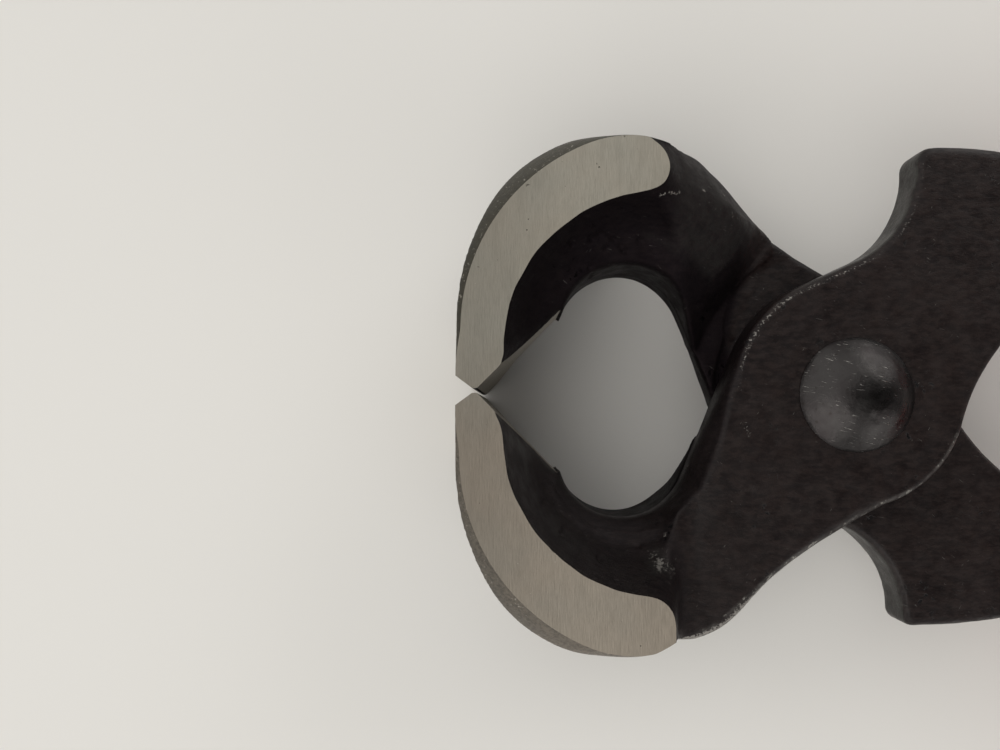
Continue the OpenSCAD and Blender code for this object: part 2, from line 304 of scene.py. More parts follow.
def forged_field(gx, gy, gz):
    """Distance field of one lever on a grid. It runs past the ground side faces, cut afterwards."""
    x2, y2 = np.meshgrid(gx, gy, indexing="ij")
    down = -y2
    r2 = np.hypot(x2, y2)
    jaw2 = outline_distance(jaw_outline(), x2, y2)
    flank = rise(x2, *FLANK_FRONT) * rise(-x2, *FLANK_REAR) * rise(down, *FLANK_DOWN)
    jaw2 = jaw2 - FLANK_OUT * ease(flank)
    handle2 = outline_distance(handle_outline(), x2, y2)
    handle2 = np.minimum(handle2, boss_distance(x2, y2))
    turn = math.radians(OPEN_ANGLE)
    open_x = x2 * math.cos(turn) - y2 * math.sin(turn)
    open_y = x2 * math.sin(turn) + y2 * math.cos(turn)
    swung2 = outline_distance(handle_outline(SWING_GAP), open_x, -open_y)
    swung2 = np.minimum(swung2, boss_distance(open_x, -open_y) - SWING_GAP)
    outer = rise(down, *OUTER_DOWN) * rise(x2, *OUTER_FRONT)
    sunk = bowl_depth(x2, y2)
    ledges = sum(drop * rise(jaw2, -inset, slope) for drop, inset, slope in RIM_LEDGES)
    ledges = ledges * (y2 > LEDGES_Y) * rise(sunk, *LEDGES_DEEP)
    bowl = PLATE_T - sunk
    cut_blend = shares(BLEND["cut"], rise(down, *CUT_DOWN))
    foot = (-NECK_X - FOOT_LEAN * (FOOT_FAR - np.clip(down, FOOT_NEAR, FOOT_FAR))
            - FOOT_SPLAY * np.maximum(down - FOOT_FAR, 0))
    plan_points = np.stack([x2.ravel(), y2.ravel(), np.zeros(x2.size)], 1)
    dish2 = np.hypot(x2 + DISH_X, y2 + DISH_Y)
    dish2 = dish2 + uneven(plan_points, DISH_ROUGH, DISH_SEED).reshape(x2.shape)
    thin_dish2 = dish2 + THIN_DISH_OUT * np.maximum(x2 + DISH_X, 0)

    f = np.empty((len(gx), len(gy), len(gz)), np.float32)
    flare_thick = (DISH_R - BOWL_FLOOR_R) / (HALF_W - PLATE_T)
    flare_thin = (DISH_R - DISH_FLOOR_R) / (HALF_W - NECK_T)
    step_n = np.array([HALF_W - PLATE_T, THICK_STEP])
    step_n = step_n / np.linalg.norm(step_n)
    room_z, room_half = LAP_Z - (PLATE_T + SWING_GAP) / 2, (PLATE_T + SWING_GAP) / 2
    for k, z in enumerate(gz):
        # thick side: a steep step down to the plate, and the bowl
        step = -((x2 + SIDE_X) * step_n[0] + (z - HALF_W) * step_n[1])
        cut = smax(step, PLATE_T - z, BLEND["plate"])
        dish = dish2 - (BOWL_FLOOR_R + flare_thick * (z - PLATE_T))
        dish = smax(dish, bowl - ledges - z, BLEND["bowl"])
        cut = smin(cut, dish + DISH_OUT * np.maximum(x2 + DISH_OUT_X, 0), cut_blend)
        # thin side: a round ended pad, a gently falling neck, its steep end and the other bowl
        h = LAP_Z - z
        falling = (h - NECK_TOP + NECK_FALL * (x2 + SIDE_X)) * NECK_COS
        steep = (x2 - foot + h / NECK_STEEP) * STEEP_COS
        falling = falling + FALL_OUT * np.maximum(down - FALL_OUT_Y, 0)
        neck = smax(falling, steep, BLEND["neck"])
        round_end = np.hypot(x2 + PAD_X, down - PAD_Y) - PAD_R - PAD_DRAFT * (HALF_W - h)
        pad = np.where(x2 > -PAD_X, round_end, x2 + PAD_X)
        slope = smax(-smin(pad, neck, BLEND["pad"]), -h, shares(BLEND["slope"], outer))
        relief = np.maximum((r2 - NECK_LAP_R - h / NECK_SLOPE) * RELIEF_COS, -h)
        dish = thin_dish2 - (DISH_FLOOR_R + flare_thin * (-z - NECK_T))
        dish = smax(dish, z + NECK_T, BLEND["thin_bowl"])
        thin = smin(smin(slope, relief, BLEND["relief"]), dish, BLEND["thin_cut"])
        room = np.maximum(swung2, np.abs(z - room_z) - room_half)
        thin = smin(thin, room, BLEND["swing_room"])
        jaw = smax(jaw2, -cut, shares(BLEND["thick_rim"], outer))
        rim_blend = BLEND["thin_rim"] + BLEND["outer_rim"] * outer * rise(h, *RIM_DEEP)
        jaw = smax(jaw, -thin, rim_blend)
        joggle = ease(rise(x2, JOGGLE_START, JOGGLE_LEN))
        mid = (LAP_Z + PLATE_T) / 2 * (1 - joggle)
        handle = smax(handle2, np.abs(z - mid) - (PLATE_T - LAP_Z) / 2, BLEND["handle_rim"])
        lever = np.maximum(np.minimum(jaw, handle), BORE_R - r2)
        f[:, :, k] = np.maximum(lever, crown_distance(x2, y2, z))
    return f


def crown_distance(x, y, z):
    """Distance to the ball shape of the ground outer edges, low away from them."""
    grow = np.sqrt(CROWN_R ** 2 - z * z)
    at_side = math.sqrt(CROWN_R ** 2 - HALF_W ** 2)
    ball = np.hypot(np.minimum(x + CROWN_X, 0), np.minimum(y + CROWN_Y, 0)) - grow
    ball = ball - BALL_FADE * np.maximum(y + CROWN_Y, 0)
    tail = np.hypot(np.clip(x + TAIL_X, 0, TAIL_LEN), y + TAIL_Y) - TAIL_R
    tail = tail - TAIL_SHARE * (grow - at_side) - TAIL_FADE * np.maximum(TAIL_MIDDLE - np.abs(z), 0)
    tail = tail + np.where(z < 0, TAIL_THIN, TAIL_THICK) * rise(x, *TAIL_END)
    tail = np.where(y > -TAIL_Y, -1.0, tail)
    return smax(ball, tail, BLEND["crown"])


def surface_net(f, gx, gy, gz, lines):
    """Points and quads of the zero surface of a grid of distances. Points beside the upright
    lines of the plan are moved onto them, so that those edges are sharp."""
    inside = f < 0
    grids = [gx, gy, gz]
    cells = np.zeros(tuple(n - 1 for n in f.shape), np.int8)
    for shift in np.ndindex(2, 2, 2):
        cells += inside[tuple(slice(d, n - 1 + d) for d, n in zip(shift, f.shape))]
    live = (cells > 0) & (cells < 8)
    index = np.full(live.shape, -1, np.int64)
    ci = np.argwhere(live)
    index[live] = np.arange(len(ci))
    total = np.zeros((len(ci), 3))
    count = np.zeros(len(ci))
    for axis in range(3):
        others = [a for a in range(3) if a != axis]
        for shift in np.ndindex(2, 2):
            a = ci.copy()
            a[:, others] += shift
            b = a.copy()
            b[:, axis] += 1
            fa, fb = f[tuple(a.T)], f[tuple(b.T)]
            hit = (fa < 0) != (fb < 0)
            w = np.where(hit, fa / np.where(hit, fa - fb, 1), 0)
            pa, pb = (np.stack([g[i] for g, i in zip(grids, c.T)], 1) for c in (a, b))
            total += np.where(hit[:, None], pa + (pb - pa) * w[:, None], 0)
            count += hit
    verts = total / count[:, None]
    for x, y in lines:
        i, j = np.searchsorted(gx, x) - 1, np.searchsorted(gy, y) - 1
        m = (ci[:, 0] == i) & (ci[:, 1] == j)
        verts[m, :2] = x, y
    faces = []
    for axis, across in enumerate(([1, 2], [2, 0], [0, 1])):
        e = np.argwhere(np.diff(inside, axis=axis))
        within = (e[:, across] > 0) & (e[:, across] < np.array(f.shape)[across] - 1)
        e = e[within.all(axis=1)]
        flip = ~inside[tuple(e.T)]
        corners = []
        for shift in ((-1, -1), (0, -1), (0, 0), (-1, 0)):
            c = e.copy()
            c[:, across] += shift
            corners.append(index[tuple(c.T)])
        q = np.stack(corners, 1)
        q[flip] = q[flip][:, ::-1]
        faces.append(q)
    return verts, np.concatenate(faces)


def steps(*spans):
    """Grid lines over spans of (start, end, spacing)."""
    out = [spans[0][0]]
    for start, end, size in spans:
        n = max(1, round((end - start) / size))
        out += list(start + (end - start) * (np.arange(n) + 1) / n)
    return np.array(out)


# The grid's spans: fine from the jaws to the shoulders, then coarser, and coarsest in the grips
HEAD_SPAN, WAIST_SPAN, GRIP_SPAN = (-39.5, 18), (18, 34), (34, 160.5)
SPAN_Y, SPAN_Z, COARSER, COARSEST = (-24.6, 26.2), (-13.1, 13.1), 1.6, 2.4


def forged_mesh(fine):
    gx = steps((*HEAD_SPAN, fine), (*WAIST_SPAN, fine * COARSER), (*GRIP_SPAN, COARSEST))
    gy, gz = steps((*SPAN_Y, fine)), steps((*SPAN_Z, fine))
    pts = jaw_outline()
    return surface_net(forged_field(gx, gy, gz), gx, gy, gz, [pts[0], pts[1], pts[-1]])


# Normals and wear

def point_normals(verts, quads):
    a, b, c, d = (verts[quads[:, k]] for k in range(4))
    n = np.cross(c - a, d - b)
    out = np.zeros_like(verts)
    for k in range(4):
        np.add.at(out, quads[:, k], n)
    return out / np.maximum(np.linalg.norm(out, axis=1), 1e-12)[:, None]


def spread(values, quads, rounds):
    """Averages values over neighbouring points."""
    v = values.astype(float)
    for _ in range(rounds):
        total = np.zeros_like(v)
        count = np.zeros(len(v))
        for k in range(4):
            for other in ((k + 1) % 4, (k + 3) % 4):
                np.add.at(total, quads[:, k], v[quads[:, other]])
                np.add.at(count, quads[:, k], 1)
        v = 0.5 * v + 0.5 * total / np.maximum(count, 1).reshape((-1,) + (1,) * (v.ndim - 1))
    return v


def ridge(verts, quads, normals):
    """How strongly the surface bends outwards at each point."""
    mean = spread(verts, quads, 1)
    bend = -np.einsum("ij,ij->i", mean - verts, normals)
    return spread(bend, quads, 2)


FINE = 0.25
base, quads = forged_mesh(FINE)
base_normals = point_normals(base, quads)
base_ridge = ridge(base, quads, base_normals) / FINE ** 2 / 2
RIDGE_START = 0.05

EDGE_LINE = jaw_outline()
TOUCH, FRONT_TOUCH, BESIDE = 0.06, 0.05, 0.1  # how near a point is to ground faces, and to their ends


def on_upright(v, p, q):
    """Points on the upright plane through two points of the plan."""
    n = np.array([-(q - p)[1], (q - p)[0]]) / np.linalg.norm(q - p)
    return np.abs((v[:, :2] - p) @ n) < TOUCH


def ground_share(v):
    """Which points lie on ground faces, which stay smooth: the crown, and the front and bevels."""
    edge, nose, lip = EDGE_LINE[0], EDGE_LINE[1], EDGE_LINE[-1]
    crown = np.abs(crown_distance(v[:, 0], v[:, 1], v[:, 2])) < TOUCH
    front = v[:, 0] < -HEAD_REACH + FRONT_TOUCH
    inner_bevel = on_upright(v, edge, lip) & (v[:, 0] < lip[0] + BESIDE) & (v[:, 1] > lip[1] - BESIDE)
    outer_bevel = on_upright(v, nose, edge) & (v[:, 0] < edge[0] + BESIDE)
    return crown & (v[:, 0] < -SIDE_X), front | inner_bevel | outer_bevel


# Marks in plan, as (points, width, strength, side of the lap): where bare steel shows and where
# the skin is rubbed. Then the places of pits.
BARE = {
    "rear": [
        ([(-20.35, -17.31), (-19.8, -17.5), (-19.26, -17.77), (-18.72, -17.68), (-18.17, -18.05)],
         0.07, 0.75, -1),
        ([(-15.88, -18.84), (-15.5, -18.6)], 0.12, 0.6, -1),
        ([(-13.51, -19.33), (-12.95, -18.37)], 0.12, 0.5, -1),
        ([(-12.3, -17.22), (-12.1, -16.9)], 0.12, 0.5, -1)],
    "front": [
        ([(-19.6, -16.1), (-19.3, -15.8)], 0.3, 0.85, 1),
        ([(-19.9, -15.4), (-18.0, -16.6)], 0.5, 0.34, 1),
        ([(-18.66, -13.75), (-18.5, -13.5)], 0.12, 0.6, 1),
        ([(-16.14, -7.34), (-15.9, -7.0)], 0.2, 0.45, 1)]}
RUBBED = {
    "rear": [
        ([(-20.91, -15.03), (-20.07, -14.47), (-18.86, -13.91), (-17.75, -13.16), (-16.27, -12.22)],
         0.35, 0.2, -1)],
    "front": [([(-19.9, -15.9), (-19.4, -15.4), (-18.9, -16.2)], 0.7, 0.5, 1)]}
PITTED = {
    "rear": [(-25.97, -14.13), (-25.21, -14.61), (-24.54, -13.65), (-23.88, -14.33),
             (-23.11, -13.85), (-22.64, -13.46), (-26.45, -12.49), (-25.97, -11.91),
             (-25.5, -11.34), (-26.64, -11.72), (-27.9, -13.6), (-21.4, -14.4)],
    "front": [(-28.6, -12.9), (-25.1, -15.2), (-21.0, -14.6), (-30.2, -10.4)]}
PIT_DEPTH, PIT_R = 0.3, 0.3


def marked(marks, v):
    """0 to 1 along the listed marks."""
    out = np.zeros(len(v))
    for points, width, strength, side in marks:
        best = np.full(len(v), 1e9)
        for a, b in zip(points, points[1:]):
            best = np.minimum(best, np.hypot(*segment_offset(v[:, 0], v[:, 1], a, b)))
        d = best / width
        out = np.maximum(out, strength * np.exp(-d * d) * (v[:, 2] * side > 1.0))
    return out


RIM_Z, LOWER_RIM_Y = 4.0, -3.5
UPPER_RIM, LOWER_RIM = (0.62, 0.24), (0.4, 0.28)  # inset and width of the worn lines
UPPER_RIM_BOX = ((-13, -4, RIM_Z), (10, 25, HALF_W))
UPPER_RIM_FADE, LOWER_RIM_FADE = (-9.5, 6), (-17, 3)


def upper_rim(v):
    """0 to 1 along the plate's upper rim round the boss and the notch."""
    out = np.zeros(len(v))
    low, high = UPPER_RIM_BOX
    near = np.flatnonzero(np.all((v > low) & (v < high), axis=1))
    p = v[near]
    plan = p[:, :2].T
    d = np.minimum(outline_distance(handle_outline(), *plan), boss_distance(*plan))
    inset, width = UPPER_RIM
    line = np.exp(-((d + inset) / width) ** 2)
    broken = np.clip(0.45 + uneven(p, (0.5, 2.4), 61) + uneven(p, (0.25, 0.7), 62), 0, 1)
    out[near] = line * broken * rise(-p[:, 0], *UPPER_RIM_FADE)
    return out


def lower_rim(v, jaw_edge):
    """0 to 1 along the plate's lower rim, from the jaw's flank round the boss."""
    d = np.minimum(jaw_edge, boss_distance(v[:, 0], v[:, 1]))
    inset, width = LOWER_RIM
    line = np.exp(-((d + inset) / width) ** 2) * (v[:, 2] > RIM_Z) * (v[:, 1] < LOWER_RIM_Y)
    line = line * rise(v[:, 0], *LOWER_RIM_FADE)
    return line * np.clip(0.8 + uneven(v, (0.5, 3.0), 63), 0, 1)


def worn_layers(name, v, normals, jaw_edge):
    """What the oxide's material reads: rubbed thin, worn bright, worn edges, and a matte skin in the
    hollows and on the lap beneath the jaws that is partly painted shade, weaker in the front lever's
    bowl."""
    x, down, z, upright = v[:, 0], -v[:, 1], v[:, 2], np.abs(normals[:, 2])
    neck = rise(-normals[:, 2], 0.45, 0.2) * (z < -3) * (z > -12.3)
    behind = down - 12.4 + 0.606 * (x + 16.27)
    neck = 0.36 * neck * rise(x, -19.6, 2.5) * rise(behind, 0, 1.2)
    flank = rise(jaw_edge, -0.35, 0.25) * (z > 3.2) * (z < 5.5)
    flank = flank * rise(x, -19.6, 0.8) * rise(down, 13.5, 2)
    wall = rise(-upright, -0.6, 0.3) * rise(x, -4, 6)
    # part dull skin, part painted shade: the jaws' walls and the lap beneath them, stronger on the
    # rear lever's thick side
    dull_skin_and_shade = rise(-upright, -0.975, 0.05)
    dull_skin_and_shade = np.maximum(dull_skin_and_shade, z < 0.3) * rise(-x, 7.5, 3)
    dull_and_shade_share = np.where(z < 0.3, 1.0, 0.45 if name == "front" else 0.9)
    dull_skin_and_shade = np.clip(spread(dull_skin_and_shade, quads, 4) * (1 - neck) * dull_and_shade_share, 0, 1)
    rub = spread(neck, quads, 14) + 1.1 * wall + marked(RUBBED[name], v)
    bright = np.maximum(marked(BARE[name], v), 0.72 * flank)
    wear = rise(base_ridge, RIDGE_START, 0.16) * (1 - 0.8 * dull_skin_and_shade * (z < 0))
    return {
        "rub": np.clip(rub, 0, 1),
        "bright": np.maximum(bright, 0.62 * upper_rim(v)),
        "dull_skin_and_shade": dull_skin_and_shade,
        "wear": np.maximum(wear, lower_rim(v, jaw_edge)),
    }


# The skin's unevenness, as (height, size), and the places where the shoulder moves
WAVE, RIPPLE, GRAIN, PIT_EDGE = (0.07, 7.0), (0.035, 2.6), (0.014, 0.9), (0.16, 0.45)
CLUSTERS, CLUSTER_DEPTH = ((0.65, 1.15), (0.5, 5.0)), 0.25
BAND_HEIGHT, BAND_TURN, SKIN_IN = 0.09, 1.7, 0.09
SHOULDER_FRONT, SHOULDER_REAR, SHOULDER_OUT = (3, 6), (-29, 9), (9, 8)


def rough_forging(name, seed, shoulder):
    """The forging with its uneven skin, pits and worn edges, and its shoulder a little out or in."""
    x, y, z = base.T
    crown, front = ground_share(base)
    free = np.where(crown | front, 0.0, 1.0)
    free = np.minimum(free, spread(free, quads, 3))
    free[crown | front] = 0
    free *= np.clip((np.hypot(x, y) - BORE_R - 0.3) / 2.0, 0, 1)
    free[np.abs(z - LAP_Z) < 0.1] = 0
    wave = uneven(base, WAVE, seed) * np.clip((13.5 - np.abs(z)) / 3, 0.3, 1)
    wave += uneven(base, RIPPLE, seed + 1)
    grain = uneven(base, GRAIN, seed + 2)
    clusters = uneven(base, CLUSTERS[0], seed + 3) + uneven(base, CLUSTERS[1], seed + 4)
    pits = -CLUSTER_DEPTH * rise(clusters, 0.62, 1)
    for px, py in PITTED[name]:
        d = np.hypot((x - px) * 0.8, y - py) + uneven(base, PIT_EDGE, seed + 7)
        pits -= PIT_DEPTH * np.clip(1.0 - d / PIT_R, 0, 1) * (np.abs(z) > 3)
    nick = np.clip(noise3(base, 1.6, seed + 5) + 0.1, 0, 1)
    nick = -0.5 * np.clip(base_ridge - RIDGE_START, 0, 0.3) * nick
    wall = np.clip(1.6 - np.abs(np.hypot(x + HOLLOW_X, y + HOLLOW_Y) - HOLLOW_R) / 0.5, 0, 1)
    turns = z * BAND_TURN + noise3(base, 6.0, seed + 6)
    bands = BAND_HEIGHT * np.sin(turns) * wall * rise(z, 0, 2)
    move = (wave + grain + pits + nick + bands - SKIN_IN) * free
    out = base + base_normals * move[:, None]
    moved = rise(x, *SHOULDER_FRONT) * rise(-x, *SHOULDER_REAR) * rise(y, *SHOULDER_OUT)
    out[:, 1] += shoulder * ease(moved)
    return out


# Meshes

def linked(name, mesh):
    obj = bpy.data.objects.new(name, mesh)
    bpy.context.scene.collection.objects.link(obj)
    return obj


TURN_OVER = np.array([1, -1, -1])


def to_row(verts, turned):
    """From the forging's millimetres to the row frame, turned over for the rear lever."""
    return ((verts * TURN_OVER if turned else verts) + PIVOT) * MM


def from_row(verts, turned):
    v = verts / MM - PIVOT
    return v * TURN_OVER if turned else v


def quad_object(name, verts, faces):
    mesh = bpy.data.meshes.new(name)
    mesh.vertices.add(len(verts))
    mesh.vertices.foreach_set("co", np.asarray(verts, np.float32).ravel())
    mesh.loops.add(faces.size)
    mesh.loops.foreach_set("vertex_index", faces.astype(np.int32).ravel())
    mesh.polygons.add(len(faces))
    mesh.polygons.foreach_set("loop_start", np.arange(len(faces), dtype=np.int32) * 4)
    mesh.polygons.foreach_set("use_smooth", np.ones(len(faces), bool))
    mesh.update(calc_edges=True)
    return linked(name, mesh)


def ring_object(name, verts, faces, turned, material):
    mesh = bpy.data.meshes.new(name)
    mesh.from_pydata(to_row(verts, turned).tolist(), [], faces)
    mesh.polygons.foreach_set("use_smooth", np.ones(len(mesh.polygons), bool))
    mesh.materials.append(material)
    return linked(name, mesh)


def ring_faces(rows, sides, start, first, last):
    """Quads between rows of ring points from index start on, and a fan to a point at each end."""
    faces = []
    for i in range(rows - 1):
        for j in range(sides):
            a, b = start + i * sides + j, start + i * sides + (j + 1) % sides
            faces.append((a, b, b + sides, a + sides))
    end = start + (rows - 1) * sides
    for j in range(sides):
        k = (j + 1) % sides
        faces += [(first, start + k, start + j), (last, end + j, end + k)]
    return faces


def grind_sides(obj, turned):
    """Cuts the two flat side faces and gives each face its material."""
    mesh = obj.data
    bm = bmesh.new()
    bm.from_mesh(mesh)
    for sign in (1, -1):
        z = (PIVOT[2] + sign * HALF_W) * MM
        cut = bmesh.ops.bisect_plane(
            bm, geom=bm.verts[:] + bm.edges[:] + bm.faces[:], dist=1e-8,
            plane_co=(0, 0, z), plane_no=(0, 0, sign), clear_outer=True)
        edges = [e for e in cut["geom_cut"] if isinstance(e, bmesh.types.BMEdge)]
        filled = bmesh.ops.triangle_fill(
            bm, edges=edges, use_beauty=True, use_dissolve=False, normal=(0, 0, sign))
        for g in filled["geom"]:
            if isinstance(g, bmesh.types.BMFace):
                g.material_index = STEEL
                g.smooth = False
    bm.to_mesh(mesh)
    bm.free()
    co = np.empty(len(mesh.vertices) * 3)
    mesh.vertices.foreach_get("co", co)
    crown, front = ground_share(from_row(co.reshape(-1, 3), turned))
    for poly in mesh.polygons:
        if poly.material_index == STEEL:
            continue
        i = list(poly.vertices)
        if front[i].all():
            poly.material_index = STEEL
            poly.use_smooth = False
        elif crown[i].all():
            poly.material_index = RIM
    mesh.update()


def forging(name, turned, seed, shoulder):
    verts = to_row(rough_forging(name, seed, shoulder), turned)
    obj = quad_object(name + "_forging", verts, quads)
    edge = outline_distance(EDGE_LINE, base[:, 0], base[:, 1])
    for label, values in worn_layers(name, base, base_normals, edge).items():
        layer = obj.data.attributes.new(label, "FLOAT", "POINT")
        layer.data.foreach_set("value", values.astype(np.float32))
    for m in forging_materials:
        obj.data.materials.append(m)
    grind_sides(obj, turned)
    return obj


# Materials

def preset(node, values):
    for socket, value in values.items():
        node.inputs[socket].default_value = value


class Nodes:
    """A tree built node by node."""

    def __init__(self, tree):
        self.tree = tree

    def node(self, kind, **settings):
        n = self.tree.nodes.new(kind)
        for key, value in settings.items():
            setattr(n, key, value)
        return n

    def link(self, a, b):
        self.tree.links.new(a, b)

    def ramp(self, value, low, high, out_low=0.0, out_high=1.0):
        n = self.node("ShaderNodeMapRange", interpolation_type="SMOOTHSTEP")
        self.link(value, n.inputs["Value"])
        preset(n, {"From Min": low, "From Max": high, "To Min": out_low, "To Max": out_high})
        return n.outputs["Result"]

    def math(self, operation, a, b):
        n = self.node("ShaderNodeMath", operation=operation)
        for socket, v in zip(n.inputs, (a, b)):
            if isinstance(v, (int, float)):
                socket.default_value = v
            else:
                self.link(v, socket)
        return n.outputs["Value"]

    def times(self, a, b):
        return self.math("MULTIPLY", a, b)

    def larger(self, a, b):
        return self.math("MAXIMUM", a, b)


class Shader(Nodes):
    """A material that works in millimetres on the object."""

    def __init__(self, name, colour, metallic, roughness):
        self.material = bpy.data.materials.new(name)
        self.material.use_nodes = True
        super().__init__(self.material.node_tree)
        self.body = self.tree.nodes["Principled BSDF"]
        preset(self.body, {"Base Color": (*colour, 1), "Metallic": metallic, "Roughness": roughness})
        self.place = self.node("ShaderNodeTexCoord").outputs["Object"]

    def mapped(self, place, setting, values):
        n = self.node("ShaderNodeMapping")
        self.link(place, n.inputs["Vector"])
        preset(n, {setting: values})
        return n.outputs["Vector"]

    def scaled(self, scale, turn=0.0):
        """The object's millimetres times scale, after a turn about the upright in degrees."""
        place = self.place
        if turn:
            place = self.mapped(place, "Rotation", (0, 0, math.radians(turn)))
        return self.mapped(place, "Scale", [v * 1000 for v in scale])

    def noise(self, scale, detail=4.0, rough=0.55, turn=0.0, warp=0.0):
        """Noise with that many features a millimetre."""
        n = self.node("ShaderNodeTexNoise")
        scale = scale if isinstance(scale, tuple) else (scale,) * 3
        self.link(self.scaled(scale, turn), n.inputs["Vector"])
        preset(n, {"Scale": 1.0, "Detail": detail, "Roughness": rough, "Distortion": warp})
        return n.outputs["Fac"]

    def along(self, axis):
        """The place along one axis, in millimetres."""
        n = self.node("ShaderNodeSeparateXYZ")
        self.link(self.scaled((1, 1, 1)), n.inputs[0])
        return n.outputs[axis]

    def grey(self, value):
        n = self.node("ShaderNodeCombineColor")
        for socket in n.inputs:
            self.link(value, socket)
        return n.outputs["Color"]

    def mix(self, share, a, b, blend="MIX"):
        n = self.node("ShaderNodeMix", data_type="RGBA", blend_type=blend)
        for socket, v in ((n.inputs[0], share), (n.inputs[6], a), (n.inputs[7], b)):
            if isinstance(v, tuple):
                socket.default_value = (*v, 1)
            elif isinstance(v, float):
                socket.default_value = v
            else:
                self.link(v, socket)
        return n.outputs[2]

    def tint(self, a, b):
        return self.mix(1.0, a, b, "MULTIPLY")

    def attribute(self, name):
        return self.node("ShaderNodeAttribute", attribute_name=name).outputs["Fac"]

    def bump(self, height, depth, after=None):
        """A bump of that depth in millimetres."""
        n = self.node("ShaderNodeBump")
        self.link(height, n.inputs["Height"])
        preset(n, {"Distance": depth * MM, "Strength": 1.0})
        if after is not None:
            self.link(after, n.inputs["Normal"])
        return n.outputs["Normal"]

    def set(self, name, value):
        self.link(value, self.body.inputs[name])


OXIDE = {
    "low": (0.0044, 0.0023, 0.0023), "high": (0.0090, 0.0056, 0.0053),
    "grain": (0.0200, 0.0135, 0.0122), "hollow": (0.0110, 0.0087, 0.0108),
    "pit": (0.0015, 0.0012, 0.0014), "rubbed": (0.034, 0.033, 0.030), "fleck": (0.16, 0.15, 0.14),
    "worn": (0.072, 0.067, 0.062), "chipped": (0.26, 0.25, 0.225), "bare": (0.25, 0.235, 0.215)}
DIRT, CHIP = (0.035, 0.032, 0.029), (0.46, 0.43, 0.38)
RUST_PIT, GLINT = (0.05, 0.045, 0.035), (0.65, 0.62, 0.56)
RIVET_LOW, RIVET_HIGH = (0.034, 0.030, 0.030), (0.047, 0.044, 0.043)
RIVET_SCRATCH, RIVET_PATCH = (0.45, 0.43, 0.40), (0.03, 0.026, 0.024)
VINYL_LOW, VINYL_HIGH, VINYL_DUST = (0.38, 0.018, 0.017), (0.46, 0.028, 0.024), (0.55, 0.2, 0.17)


def black_oxide():
    s = Shader("black_oxide", (0.012, 0.0105, 0.0105), 0.0, 0.4)
    preset(s.body, {"Specular IOR Level": 0.2})
    rub, bare, wear, dull_skin_and_shade = (s.attribute(name) for name in ("rub", "bright", "wear", "dull_skin_and_shade"))
    cloud = s.ramp(s.noise(0.16, 5), 0.35, 0.7)
    grain = s.ramp(s.noise((0.9, 1.9, 1.9), 6, 0.72), 0.36, 0.66)
    skin = s.mix(cloud, OXIDE["low"], OXIDE["high"])
    skin = s.mix(s.times(grain, 0.75), skin, OXIDE["grain"])
    # the hollows' colour, part dull skin and part painted shade
    skin = s.mix(s.times(dull_skin_and_shade, 0.6), skin, OXIDE["hollow"])
    # dark pits in clusters
    spots = s.ramp(s.noise(1.5, 3, 0.5, warp=0.3), 0.61, 0.68)
    pits = s.times(spots, s.ramp(s.noise(0.22, 2), 0.55, 0.7))
    skin = s.mix(pits, skin, OXIDE["pit"])
    # the neck's top and the handles' walls are rubbed to a grey
    rub = s.times(rub, s.ramp(s.noise(0.8, 6, 0.72), 0.34, 0.62, 0.1, 1.0))
    skin = s.mix(rub, skin, OXIDE["rubbed"])
    # light flecks, and scratches in three directions, where the oxide is rubbed through
    flecks = s.ramp(s.noise(3.0, 2, 0.4), 0.775, 0.81)
    light = s.times(flecks, s.ramp(s.noise(0.3, 2), 0.54, 0.68))
    scratches = (((1.3, 11.0, 1.3), 38, 0.42), ((1.6, 12.0, 1.6), -55, 0.5),
                 ((0.7, 13.0, 0.7), 12, 0.36))
    for scale, turn, place in scratches:
        lines = s.ramp(s.noise(scale, 1.5, 0.4, turn), 0.735, 0.765)
        lines = s.times(lines, s.ramp(s.noise(place, 2, turn=turn), 0.54, 0.64))
        light = s.larger(light, lines)
    skin = s.mix(s.times(light, 0.55), skin, OXIDE["fleck"])
    # worn edges, brightest where the noise breaks them up
    soft = s.times(s.ramp(wear, 0.15, 0.9), s.ramp(s.noise(0.5, 4, 0.6), 0.36, 0.66))
    skin = s.mix(s.times(soft, 0.75), skin, OXIDE["worn"])
    chips = s.times(s.ramp(wear, 0.3, 0.85), s.ramp(s.noise(1.5, 5, 0.7), 0.55, 0.63))
    skin = s.mix(s.times(chips, 0.85), skin, OXIDE["chipped"])
    broken = s.ramp(s.noise((4.0, 5.0, 4.0), 4, 0.7), 0.3, 0.7, -0.6, 0.19)
    bare = s.ramp(s.math("ADD", bare, broken), 0.2, 0.5)
    skin = s.mix(s.times(bare, 0.9), skin, OXIDE["bare"])
    s.set("Base Color", skin)
    # the dull skin of the hollows, partly painted shade, reflects as little as a dark metal
    s.set("Metallic", s.larger(s.times(s.larger(chips, bare), 0.6), s.times(dull_skin_and_shade, 0.92)))
    rough = s.ramp(s.noise(0.6, 4), 0.3, 0.7, 0.30, 0.46)
    s.set("Roughness", s.math("ADD", rough, s.times(dull_skin_and_shade, 0.27)))
    n = s.bump(s.noise((0.9, 1.9, 1.9), 6, 0.7), 0.07)
    s.set("Normal", s.bump(s.math("SUBTRACT", 1.0, pits), 0.05, n))
    return s.material


